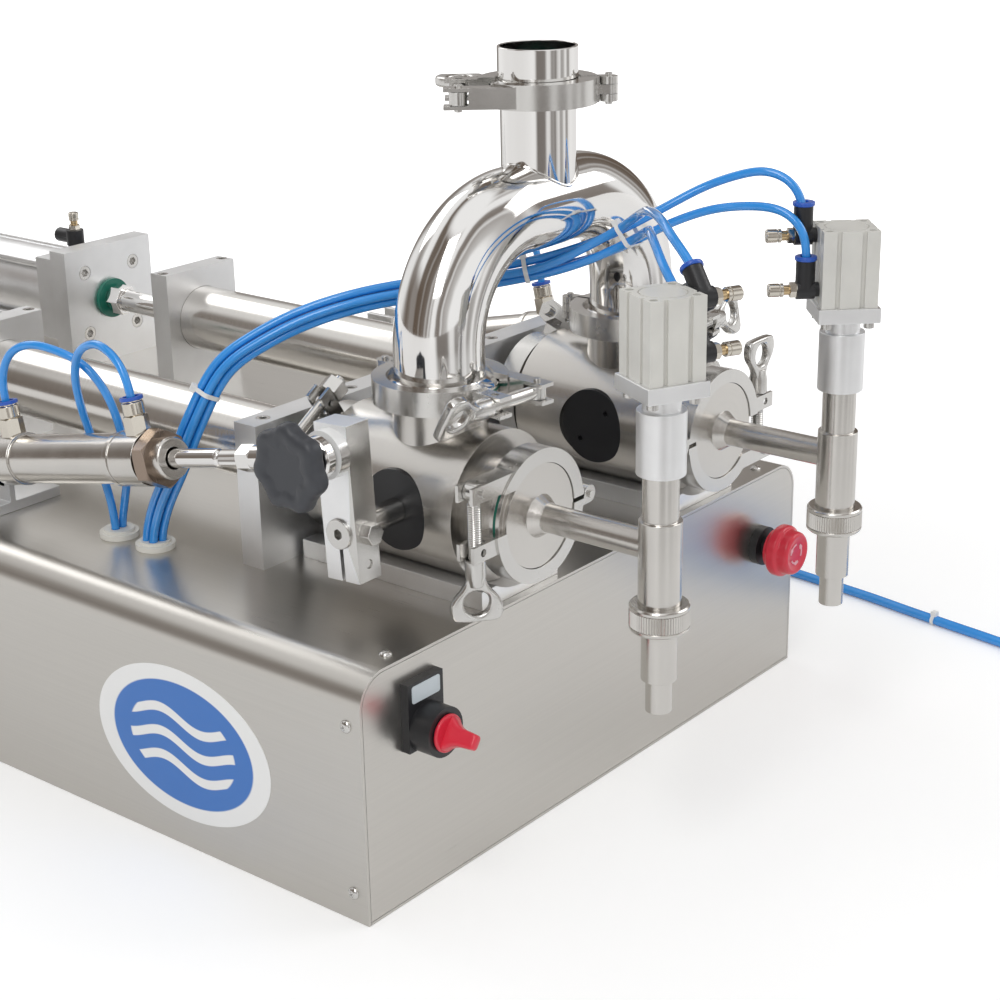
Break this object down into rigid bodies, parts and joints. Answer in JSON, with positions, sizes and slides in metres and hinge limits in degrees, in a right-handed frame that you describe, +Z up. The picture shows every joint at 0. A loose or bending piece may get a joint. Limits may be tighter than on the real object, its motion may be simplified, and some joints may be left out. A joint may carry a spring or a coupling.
{
  "type": "twin-nozzle bench filling machine",
  "caption": "Bench piston filler on a long steel base: horizontal pumps with lever-turned three-way valves, a shared arched inlet pipe and air-driven shut-off nozzles.",
  "frame": {"origin": "middle of the base's underside", "axes": "+Z up, -Y towards the nozzles and the operator, +X the machine's right-hand side"},
  "size_m": [0.744, 1.433, 0.5075],
  "materials": {
    "sheet_steel": "brushed stainless sheet, grain along its length",
    "turned_steel": "turned stainless, fine rings",
    "polished_steel": "mirror-polished stainless",
    "cast_steel": "investment-cast stainless, tumbled",
    "screw_steel": "plain stainless",
    "milled_aluminium": "milled and clear anodised",
    "cylinder_steel": "drawn tube, satin",
    "grey_cylinder": "warm light-grey hard coat",
    "black_plastic": "moulded, slightly textured",
    "red_plastic": "moulded",
    "plated_brass": "nickel-plated",
    "blue_tube": "clear-bodied polyurethane tube",
    "cream_rubber": "smooth",
    "green_rubber": "smooth",
    "control_grey": "moulded cases on a plate"
  },
  "bodies": {
    "frame": {"base_cover": "sheet_steel", "front_panel": "sheet_steel", "rear_panel": "sheet_steel", "base_plate": "sheet_steel", "panel_screws": "screw_steel", "hose_grommets": "cream_rubber", "valve_plates": "milled_aluminium", "valve_bodies": "turned_steel", "support_blocks": "milled_aluminium", "cap_screws": "screw_steel", "pump_tubes": "turned_steel", "drive_caps": "milled_aluminium", "drive_barrels": "milled_aluminium", "rod_seals": "green_rubber", "inlet_pipe": "polished_steel", "ferrule_gaskets": "green_rubber", "outlet_covers": "turned_steel", "nozzle_bodies": "turned_steel", "cylinder_mounts": "milled_aluminium", "nozzle_cylinders": "grey_cylinder", "hose_fittings": "plated_brass", "fitting_collars": "blue_tube", "pivot_brackets": "milled_aluminium", "switch_housings": "black_plastic", "air_inlet": "plated_brass", "valve_island": "milled_aluminium", "control_unit": "control_grey", "power_inlet": "black_plastic", "clamp_bands": "cast_steel", "clamp_bolts": "cast_steel", "control_hoses": "blue_tube", "supply_hose": "blue_tube", "supply_coil": "blue_tube", "supply_connector": "plated_brass"},
    "lever_1": {"valve_core_1": "black_plastic", "lever_arm_1": "milled_aluminium", "lever_shaft_1": "screw_steel"},
    "swing_rod_1": {"swing_rod_1": "polished_steel"},
    "swing_cylinder_1": {"swing_cylinder_1": "cylinder_steel"},
    "star_knob_1": {"star_knob_1": "black_plastic"},
    "piston_1": {"piston_1": "polished_steel"},
    "nozzle_stem_1": {"nozzle_stem_1": "polished_steel"},
    "nozzle_nut_1": {"nozzle_nut_1": "turned_steel"},
    "lever_2": {"valve_core_2": "black_plastic", "lever_arm_2": "milled_aluminium", "lever_shaft_2": "screw_steel"},
    "swing_rod_2": {"swing_rod_2": "polished_steel"},
    "swing_cylinder_2": {"swing_cylinder_2": "cylinder_steel"},
    "star_knob_2": {"star_knob_2": "black_plastic"},
    "piston_2": {"piston_2": "polished_steel"},
    "nozzle_stem_2": {"nozzle_stem_2": "polished_steel"},
    "nozzle_nut_2": {"nozzle_nut_2": "turned_steel"},
    "wing_nut_1": {"wing_nut_1": "cast_steel"},
    "wing_nut_2": {"wing_nut_2": "cast_steel"},
    "wing_nut_3": {"wing_nut_3": "cast_steel"},
    "wing_nut_4": {"wing_nut_4": "cast_steel"},
    "wing_nut_5": {"wing_nut_5": "cast_steel"},
    "selector_knob": {"selector_knob": "red_plastic"},
    "stop_stem": {"stop_stem": "black_plastic"},
    "stop_button": {"stop_button": "red_plastic"}
  },
  "joints": [
    {"name": "lever_turn_1", "type": "hinge", "parent": "frame", "child": "lever_1", "pos_m": [-0.0855, -0.5035, 0.2275], "axis": [1, 0, 0], "range_deg": [-45, 45]},
    {"name": "rod_swing_1", "type": "hinge", "parent": "lever_1", "child": "swing_rod_1", "pos_m": [-0.2, -0.5002, 0.2814], "axis": [1, 0, 0], "range_deg": [-44.5, 44.5]},
    {"name": "cylinder_slide_1", "type": "slide", "parent": "swing_rod_1", "child": "swing_cylinder_1", "axis": [0, 0.9796, -0.2011], "range_m": [-0.04, 0.04]},
    {"name": "knob_turn_1", "type": "hinge", "parent": "lever_1", "child": "star_knob_1", "pos_m": [-0.2, -0.5002, 0.2814], "axis": [1, 0, 0], "continuous": true},
    {"name": "piston_stroke_1", "type": "slide", "parent": "frame", "child": "piston_1", "axis": [0, -1, 0], "range_m": [0, 0.3]},
    {"name": "stem_lift_1", "type": "slide", "parent": "frame", "child": "nozzle_stem_1", "axis": [0, 0, 1], "range_m": [0, 0.012]},
    {"name": "nut_turn_1", "type": "hinge", "parent": "frame", "child": "nozzle_nut_1", "pos_m": [-0.0855, -0.679, 0.173], "axis": [0, 0, 1], "continuous": true},
    {"name": "lever_turn_2", "type": "hinge", "parent": "frame", "child": "lever_2", "pos_m": [0.1295, -0.5035, 0.2275], "axis": [1, 0, 0], "range_deg": [0, 90]},
    {"name": "rod_swing_2", "type": "hinge", "parent": "lever_2", "child": "swing_rod_2", "pos_m": [0.244, -0.46306, 0.26328], "axis": [1, 0, 0], "range_deg": [-88.39, 0.61]},
    {"name": "cylinder_slide_2", "type": "slide", "parent": "swing_rod_2", "child": "swing_cylinder_2", "axis": [0, 0.9755, -0.22], "range_m": [-0.00061, 0.07939]},
    {"name": "knob_turn_2", "type": "hinge", "parent": "lever_2", "child": "star_knob_2", "pos_m": [0.244, -0.46306, 0.26328], "axis": [1, 0, 0], "continuous": true},
    {"name": "piston_stroke_2", "type": "slide", "parent": "frame", "child": "piston_2", "axis": [0, -1, 0], "range_m": [0, 0.3]},
    {"name": "stem_lift_2", "type": "slide", "parent": "frame", "child": "nozzle_stem_2", "axis": [0, 0, 1], "range_m": [0, 0.012]},
    {"name": "nut_turn_2", "type": "hinge", "parent": "frame", "child": "nozzle_nut_2", "pos_m": [0.1295, -0.679, 0.173], "axis": [0, 0, 1], "continuous": true},
    {"name": "wing_turn_1", "type": "hinge", "parent": "frame", "child": "wing_nut_1", "pos_m": [-0.143, -0.5785, 0.2142], "axis": [0, 0, 1], "continuous": true},
    {"name": "wing_turn_2", "type": "hinge", "parent": "frame", "child": "wing_nut_2", "pos_m": [0.187, -0.5785, 0.2408], "axis": [0, 0, 1], "continuous": true},
    {"name": "wing_turn_3", "type": "hinge", "parent": "frame", "child": "wing_nut_3", "pos_m": [-0.10376, -0.55962, 0.3005], "axis": [-0.9962, 0.0872, 0], "continuous": true},
    {"name": "wing_turn_4", "type": "hinge", "parent": "frame", "child": "wing_nut_4", "pos_m": [0.14776, -0.55962, 0.3005], "axis": [0.9962, 0.0872, 0], "continuous": true},
    {"name": "wing_turn_5", "type": "hinge", "parent": "frame", "child": "wing_nut_5", "pos_m": [-0.0007, -0.45433, 0.4785], "axis": [0.7771, 0.6293, 0], "continuous": true},
    {"name": "selector_turn", "type": "hinge", "parent": "frame", "child": "selector_knob", "pos_m": [-0.197, -0.605, 0.121], "axis": [0, 1, 0], "range_deg": [0, 90]},
    {"name": "stop_press", "type": "slide", "parent": "frame", "child": "stop_stem", "axis": [0, 1, 0], "range_m": [0, 0.005], "stiffness_N_per_m": 600},
    {"name": "stop_release", "type": "hinge", "parent": "stop_stem", "child": "stop_button", "pos_m": [0.2, -0.6, 0.1145], "axis": [0, 1, 0], "range_deg": [0, 45]}
  ],
  "couplings": [
    {"joint": "rod_swing_1", "follows": "lever_turn_1", "ratio": -0.9753},
    {"joint": "cylinder_slide_1", "follows": "lever_turn_1", "m_per_rad": 0.05015},
    {"joint": "rod_swing_2", "follows": "lever_turn_2", "ratio": -0.9753},
    {"joint": "cylinder_slide_2", "follows": "lever_turn_2", "m_per_rad": 0.05015}
  ]
}
